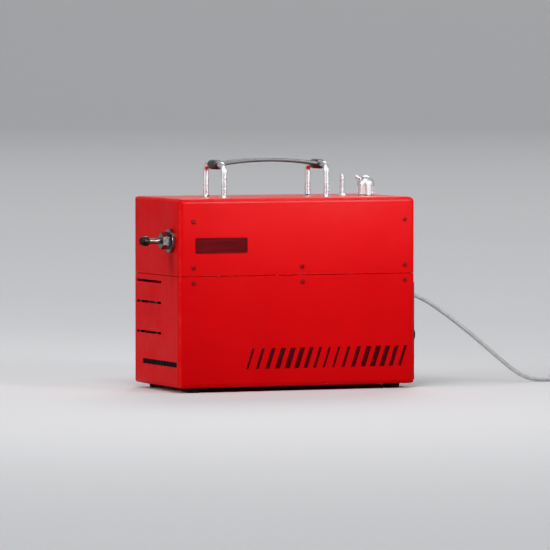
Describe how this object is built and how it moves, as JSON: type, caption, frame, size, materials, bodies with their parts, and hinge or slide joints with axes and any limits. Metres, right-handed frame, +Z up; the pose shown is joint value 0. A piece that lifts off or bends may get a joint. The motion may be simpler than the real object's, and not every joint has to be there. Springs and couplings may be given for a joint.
{
  "type": "fog machine",
  "caption": "Box-shaped fog machine with a heated nozzle at the front, a hoop handle and filler cap on top, and switch, dial and cord at the rear.",
  "frame": {"origin": "middle of the footprint (without the cord) at the underside of the feet, on the table top", "axes": "+Z up, -X the way the nozzle blows, +X towards the rear panel and cord, +Y across the case"},
  "size_m": [1.006, 0.2238, 0.4085],
  "materials": {
    "red_paint": "smooth satin powder coat",
    "chrome_metal": "polished",
    "zinc_steel": "zinc plated",
    "dark_steel": "fine textured black coat",
    "black_plastic": "moulded",
    "black_print": "flat film",
    "soft_rubber": "matt",
    "cast_alloy": "cast",
    "yellow_brass": "turned",
    "mineral_wool": "felted",
    "tank_plastic": "blow moulded, milky",
    "hose_rubber": "silicone",
    "board_green": "solder mask",
    "winding": "varnished",
    "button_green": "moulded",
    "rocker_red": "moulded",
    "fuse_glass": "clear with plated ends",
    "lamp_lens": "translucent",
    "cord_sheath": "smooth grey sheath"
  },
  "bodies": {
    "machine": {"lower_case": "red_paint", "upper_case": "red_paint", "joining_brackets": "zinc_steel", "case_screws": "dark_steel", "deck": "zinc_steel", "rear_panel": "dark_steel", "intake_grille": "dark_steel", "feet": "soft_rubber", "foot_fasteners": "zinc_steel", "badge_plate": "black_plastic", "side_stripes": "black_print", "handle_hoop_front": "chrome_metal", "handle_hoop_rear": "chrome_metal", "handle_grip": "soft_rubber", "handle_fasteners": "chrome_metal", "nozzle_flange": "zinc_steel", "nozzle_nut": "zinc_steel", "nozzle_barrel": "zinc_steel", "nozzle_tip": "dark_steel", "heater_block": "cast_alloy", "heater_tube": "zinc_steel", "heater_rods": "zinc_steel", "heater_insulation": "mineral_wool", "heater_jacket": "chrome_metal", "heater_saddles": "zinc_steel", "thermostat": "black_plastic", "tank": "tank_plastic", "tank_straps": "zinc_steel", "filler_neck": "black_plastic", "tank_breather": "zinc_steel", "tank_outlet": "yellow_brass", "pump_body": "yellow_brass", "pump_coil": "winding", "pump_bracket": "zinc_steel", "pump_mounts": "soft_rubber", "suction_hose": "hose_rubber", "pressure_hose": "hose_rubber", "fan_frame": "black_plastic", "control_board": "board_green", "transformer": "dark_steel", "power_switch": "black_plastic", "fog_button_bezel": "chrome_metal", "level_control": "zinc_steel", "fuse_holder": "black_plastic", "remote_socket": "black_plastic", "indicator_lamps": "lamp_lens", "cord_gland": "black_plastic", "mains_cord": "cord_sheath", "mains_cord_coil": "cord_sheath", "cord_tie": "black_plastic", "mains_plug": "soft_rubber"},
    "cap_seal": {"cap_gasket": "soft_rubber"},
    "cap": {"filler_cap": "chrome_metal"},
    "rocker": {"power_rocker": "rocker_red"},
    "button": {"fog_button": "button_green"},
    "knob": {"level_knob": "black_plastic"},
    "fuse": {"fuse_link": "fuse_glass"},
    "fuse_top": {"fuse_cap": "black_plastic"},
    "fan": {"fan_rotor": "black_plastic"},
    "piston": {"pump_piston": "chrome_metal"}
  },
  "joints": [
    {"name": "cap_lift", "type": "slide", "parent": "machine", "child": "cap_seal", "axis": [0, 0, 1], "range_m": [0, 0.06]},
    {"name": "cap_turn", "type": "hinge", "parent": "cap_seal", "child": "cap", "pos_m": [0.197, 0, 0.36], "axis": [0, 0, 1], "range_deg": [0, 360]},
    {"name": "power_rock", "type": "hinge", "parent": "machine", "child": "rocker", "pos_m": [0.241, 0.062, 0.14], "axis": [0, 0, 1], "range_deg": [0, 20]},
    {"name": "fog_press", "type": "slide", "parent": "machine", "child": "button", "axis": [-1, 0, 0], "range_m": [0, 0.003], "stiffness_N_per_m": 400},
    {"name": "level_turn", "type": "hinge", "parent": "machine", "child": "knob", "pos_m": [0.257, -0.06, 0.092], "axis": [1, 0, 0], "range_deg": [-135, 135]},
    {"name": "fuse_pull", "type": "slide", "parent": "machine", "child": "fuse", "axis": [1, 0, 0], "range_m": [0, 0.04]},
    {"name": "fuse_turn", "type": "hinge", "parent": "fuse", "child": "fuse_top", "pos_m": [0.25, 0.062, 0.096], "axis": [1, 0, 0], "range_deg": [0, 45]},
    {"name": "fan_spin", "type": "hinge", "parent": "machine", "child": "fan", "pos_m": [-0.192, 0.0425, 0.123], "axis": [1, 0, 0], "continuous": true},
    {"name": "pump_stroke", "type": "slide", "parent": "machine", "child": "piston", "axis": [1, 0, 0], "range_m": [-0.004, 0.004], "stiffness_N_per_m": 600}
  ]
}
